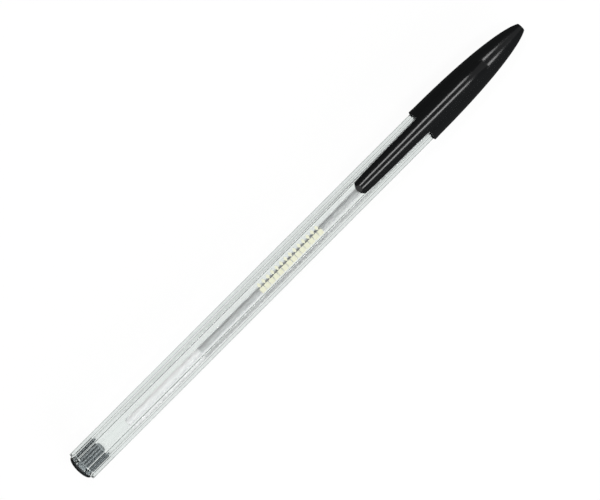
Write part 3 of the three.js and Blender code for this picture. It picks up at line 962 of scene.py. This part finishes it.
# %% Milky polypropylene
# Painted light: the veil is thicker towards -Y, so that side of the tube looks lighter.
PAINTED_LIGHT_FROM = -0.35  # positions across the tube between which the veil grows thinner
PAINTED_LIGHT_TO = 0.05
milky_polypropylene, tree = new_material("milky_polypropylene_extruded")
place = add_node(tree, "ShaderNodeTexCoord").outputs["Object"]
draw_lines = add_node(tree, "ShaderNodeMapping", {"Scale": (20, 1500, 1500)}, {"Vector": place})
lines = add_node(
    tree,
    "ShaderNodeTexNoise",
    {"Scale": 1.0, "Detail": 2.0},
    {"Vector": draw_lines.outputs[0]},
)
line_bump = add_node(
    tree,
    "ShaderNodeBump",
    {"Strength": 0.1, "Distance": 0.000001},
    {"Height": lines.outputs[0]},
)
parts = add_node(tree, "ShaderNodeSeparateXYZ", links={0: place})
# Painted light: less light goes through towards -Y, which makes that side of the tube lighter.
clearness_and_painted_light = add_node(
    tree,
    "ShaderNodeMapRange",
    {"From Min": PAINTED_LIGHT_FROM * MM, "From Max": PAINTED_LIGHT_TO * MM, "To Min": 0.65, "To Max": 0.77},
    {"Value": parts.outputs["Y"]},
)
milky = add_node(
    tree,
    "ShaderNodeBsdfPrincipled",
    {"Base Color": tone("#f0edee"), "IOR": 1.49, "Roughness": 0.3},
    {"Transmission Weight": clearness_and_painted_light.outputs[0], "Normal": line_bump.outputs[0]},
)
finish_with(tree, lit_through(tree, milky.outputs[0], tone("#e7e7e7")))
dress(tube, milky_polypropylene)

# %% [markdown]
# The ink is an oil paste as thick as honey, black with a blue cast where it is thin. It stays
# wet in the tube, so it is glossy.

# %% Wet black paste
ink_paste, tree = new_material("black_ink_paste_wet")
place = add_node(tree, "ShaderNodeTexCoord").outputs["Object"]
smear = add_node(tree, "ShaderNodeTexNoise", {"Scale": 400.0, "Detail": 2.0}, {"Vector": place})
ink_tones = add_node(
    tree,
    "ShaderNodeMix",
    {"data_type": "RGBA", 6: tone("#16171b"), 7: tone("#20222a")},
    {0: smear.outputs[0]},
)
wet = add_node(
    tree,
    "ShaderNodeBsdfPrincipled",
    {"IOR": 1.45, "Roughness": 0.1},
    {"Base Color": ink_tones.outputs[2]},
)
finish_with(tree, wet.outputs[0])
dress(ink, ink_paste)

# %% [markdown]
# Brass and nickel silver come off an automatic lathe, and the tool leaves fine rings round them,
# a few hundredths of a millimetre apart. They are drawn coarser here, so that they show. The
# ball is ground and lapped, with only a trace of unevenness left.

# %% Turned brass, turned nickel silver, ground carbide


def turned_metal(name, colour, roughness, ring_pitch, ring_depth):
    """A bright metal with the rings that a lathe tool leaves; pitch and depth in millimetres."""
    made, tree = new_material(name)
    place = add_node(tree, "ShaderNodeTexCoord").outputs["Object"]
    rings = add_node(
        tree,
        "ShaderNodeTexWave",
        {
            "bands_direction": "X",
            "Scale": 1 / (20 * ring_pitch * MM) * 2 * math.pi,
            "Distortion": 0.4,
            "Detail": 1.0,
        },
        {"Vector": place},
    )
    marks = add_node(
        tree,
        "ShaderNodeBump",
        {"Strength": 0.5, "Distance": ring_depth * MM},
        {"Height": rings.outputs["Fac"]},
    )
    wear = add_node(tree, "ShaderNodeTexNoise", {"Scale": 900.0, "Detail": 3.0}, {"Vector": place})
    gloss = add_node(
        tree,
        "ShaderNodeMapRange",
        {"To Min": roughness * 0.8, "To Max": roughness * 1.25},
        {"Value": wear.outputs[0]},
    )
    metal = add_node(
        tree,
        "ShaderNodeBsdfPrincipled",
        {"Base Color": tone(colour), "Metallic": 1.0},
        {"Roughness": gloss.outputs[0], "Normal": marks.outputs[0]},
    )
    finish_with(tree, metal.outputs[0])
    return made


dress(holder, turned_metal("brass_turned", "#cfae6a", 0.26, 0.09, 0.004))
dress(point, turned_metal("nickel_silver_turned", "#c9c4b8", 0.22, 0.07, 0.003))
dress(ball, turned_metal("tungsten_carbide_lapped", "#9fa1a4", 0.1, 0.3, 0.0002))

# %% [markdown]
# Hot-stamped foil is a lacquer film pressed on with a heated die. It is cream, satin, and lies
# so thin that the die's fine grain shows through as small pits.

# %% Cream hot-stamped foil
cream_foil, tree = new_material("cream_foil_hot_stamped")
place = add_node(tree, "ShaderNodeTexCoord").outputs["Object"]
pits = add_node(tree, "ShaderNodeTexNoise", {"Scale": 3500.0, "Detail": 3.0}, {"Vector": place})
foil_tones = add_node(
    tree,
    "ShaderNodeMix",
    {"data_type": "RGBA", 6: tone("#cacbb3"), 7: tone("#d6d7c1")},
    {0: pits.outputs[0]},
)
foil_bump = add_node(
    tree,
    "ShaderNodeBump",
    {"Strength": 0.3, "Distance": 0.000008},
    {"Height": pits.outputs[0]},
)
cream = add_node(
    tree,
    "ShaderNodeBsdfPrincipled",
    {"IOR": 1.5, "Roughness": 0.45},
    {"Base Color": foil_tones.outputs[2], "Normal": foil_bump.outputs[0]},
)
finish_with(tree, cream.outputs[0])
dress(foil, cream_foil)

# %% [markdown]
# The pen lies on a plain white sheet. The sheet's own shading keeps the pen's shadow, and what
# the camera sees of it is lifted to white, as in a catalogue picture. Clear pieces see the same
# white through themselves. Mirror reflections see it dimmer, because the real studio was dark
# around a small lit table.

# %% Lay the floor
FLOOR_SIZE = 4.0  # metres
PAPER_SHARE = 0.06  # how much of the paper's own shading the camera sees in the white
MIRROR_SHARE = 0.02  # how much of the white a mirror reflection sees


def looked_through(tree):
    """A light path node, and 1 for the rays of the camera and of clear pieces, 0 for others."""
    path = add_node(tree, "ShaderNodeLightPath")
    seen = add_node(
        tree,
        "ShaderNodeMath",
        {"operation": "MAXIMUM"},
        {0: path.outputs["Is Camera Ray"], 1: path.outputs["Is Transmission Ray"]},
    )
    return path, seen.outputs[0]


bpy.ops.object.select_all(action="DESELECT")
bpy.ops.mesh.primitive_plane_add(size=FLOOR_SIZE, location=(0, 0, 0))
floor = bpy.context.object
floor.name = "floor"
floor_material, tree = new_material("white_paper_floor")
path, seen_directly = looked_through(tree)
paper = add_node(tree, "ShaderNodeBsdfDiffuse", {"Color": tone("#f2f2f0")})
seen_white = add_node(tree, "ShaderNodeEmission", {"Color": tone("#ffffff"), "Strength": 1.0})
half_paper = add_node(
    tree,
    "ShaderNodeMixShader",
    {0: PAPER_SHARE},
    {1: seen_white.outputs[0], 2: paper.outputs[0]},
)
mirrored = add_node(
    tree,
    "ShaderNodeMath",
    {"operation": "MULTIPLY", 1: MIRROR_SHARE},
    {0: path.outputs["Is Glossy Ray"]},
)
how_white = add_node(
    tree,
    "ShaderNodeMath",
    {"operation": "MAXIMUM"},
    {0: seen_directly, 1: mirrored.outputs[0]},
)
dim_paper = add_node(tree, "ShaderNodeBsdfDiffuse", {"Color": tone("#383838")})
floor_mix = add_node(
    tree,
    "ShaderNodeMixShader",
    links={0: how_white.outputs[0], 1: dim_paper.outputs[0], 2: half_paper.outputs[0]},
)
finish_with(tree, floor_mix.outputs[0])
dress(floor, floor_material)

# %% [markdown]
# Two long strip lamps hang over the pen, one to each side, parallel to it. On the black plastic
# they draw the pair of thin bright lines that the photograph shows, and on a matt surface they
# give a plain, even light. Towards the pen's rear each strip ends in a shorter and dimmer one,
# so that its mirror image fades out along the clear barrel and doesn't stop at a hard edge. A
# broad weak card hangs over each end of the pen. A strong low one stands to its right: it lights
# what lies inside the barrel, and no mirror reflection shows it. The world round them is dim but
# not black, and white where the camera or a clear piece looks past the floor.

# %% Hang the lamps and set the world
STRIP_TILT = 26.5  # degrees from straight up, to each side
STRIP_DISTANCE = 600
STRIP_SIZE = (400, 135)
STRIP_RADIANCE = 9.0
STRIP_ALONG = 110  # towards the cap, whose highlights they are for
STRIP_END_SIZE = (120, 135)
STRIP_END_RADIANCE = 3.0
STRIP_END_ALONG = STRIP_ALONG - (STRIP_SIZE[0] + STRIP_END_SIZE[0]) / 2
CARD_DISTANCE = 900


def hang_lamp(name, toward, distance, size, radiance, along=0, glossy=True):
    """A rectangular lamp that faces the pen. Its radiance is 1 where it would look white."""
    light = bpy.data.lights.new(name, "AREA")
    light.shape = "RECTANGLE"
    light.size = size[0] * MM
    light.size_y = size[1] * MM
    light.energy = radiance * math.pi * light.size * light.size_y
    lamp = bpy.data.objects.new(name, light)
    bpy.context.collection.objects.link(lamp)
    away = Vector(toward).normalized()
    lamp.location = (away * distance + Vector((along, 0, 0))) * MM
    lamp.rotation_euler = (-away).to_track_quat("-Z", "Y").to_euler()
    lamp.visible_transmission = False
    lamp.visible_glossy = glossy
    print(name, "gives", round(light.energy, 2), "watts")


def slope(degrees):
    """Cosine and sine of an angle over the floor."""
    return math.cos(math.radians(degrees)), math.sin(math.radians(degrees))


level, upright = slope(90 - STRIP_TILT)
strips = [  # the first part of the name, size, radiance and place along the pen
    ("strip_", STRIP_SIZE, STRIP_RADIANCE, STRIP_ALONG),
    ("strip_end_", STRIP_END_SIZE, STRIP_END_RADIANCE, STRIP_END_ALONG),
]
for side, aside in (("left", level), ("right", -level)):
    for kind, size, radiance, along in strips:
        hang_lamp(kind + side, (0, aside, upright), STRIP_DISTANCE, size, radiance, along)
level, upright = slope(38)
hang_lamp("rear_card", (-level, 0, upright), CARD_DISTANCE, (1100, 450), 0.9)
level, upright = slope(40)
hang_lamp("front_card", (level, 0, upright), CARD_DISTANCE, (800, 800), 0.25)
level, upright = slope(18)
hang_lamp("fill_card", (0, -level, upright), CARD_DISTANCE, (900, 500), 8.0, glossy=False)

world = bpy.data.worlds.new("studio")
bpy.context.scene.world = world
world.use_nodes = True
tree = world.node_tree
tree.nodes.clear()
sees_white = looked_through(tree)[1]
dim = add_node(tree, "ShaderNodeBackground", {"Color": tone("#ffffff"), "Strength": 0.08})
white = add_node(tree, "ShaderNodeBackground", {"Color": tone("#ffffff"), "Strength": 1.0})
world_mix = add_node(
    tree,
    "ShaderNodeMixShader",
    links={0: sees_white, 1: dim.outputs[0], 2: white.outputs[0]},
)
add_node(tree, "ShaderNodeOutputWorld", links={"Surface": world_mix.outputs[0]})

# %% [markdown]
# The photograph looks straight down on the pen through a long lens, and the pen runs from the
# lower left to the upper right at 45 degrees. So the camera hangs above the pen and is turned
# 45 degrees about its own line of sight.

# %% Place the camera
CAMERA_TURN = math.radians(45)
PIXELS_PER_MM = 4.208
IMAGE_WIDTH = 600
IMAGE_HEIGHT = 500
PEN_MIDDLE = (299.4, 248.6)  # pixels, where the middle of the pen's length lies in the picture
LENS = 120.0
SENSOR = 36.0
height = IMAGE_WIDTH / SENSOR * LENS / PIXELS_PER_MM
right = Vector((math.cos(CAMERA_TURN), -math.sin(CAMERA_TURN), 0))
up = Vector((math.sin(CAMERA_TURN), math.cos(CAMERA_TURN), 0))
shift_right = (IMAGE_WIDTH / 2 - PEN_MIDDLE[0]) / PIXELS_PER_MM
shift_up = -(IMAGE_HEIGHT / 2 - PEN_MIDDLE[1]) / PIXELS_PER_MM
camera_data = bpy.data.cameras.new("camera")
camera_data.lens = LENS
camera_data.sensor_width = SENSOR
camera_data.clip_start = 0.01
camera_data.clip_end = 20
camera = bpy.data.objects.new("camera", camera_data)
bpy.context.collection.objects.link(camera)
camera.location = (right * shift_right + up * shift_up) * MM
camera.location.z = AXIS_HEIGHT + height * MM
camera.rotation_euler = (0, 0, -CAMERA_TURN)
bpy.context.scene.camera = camera
bpy.context.scene.view_settings.view_transform = "Standard"
print("camera hangs", round(height, 1), "mm above the pen's axis")
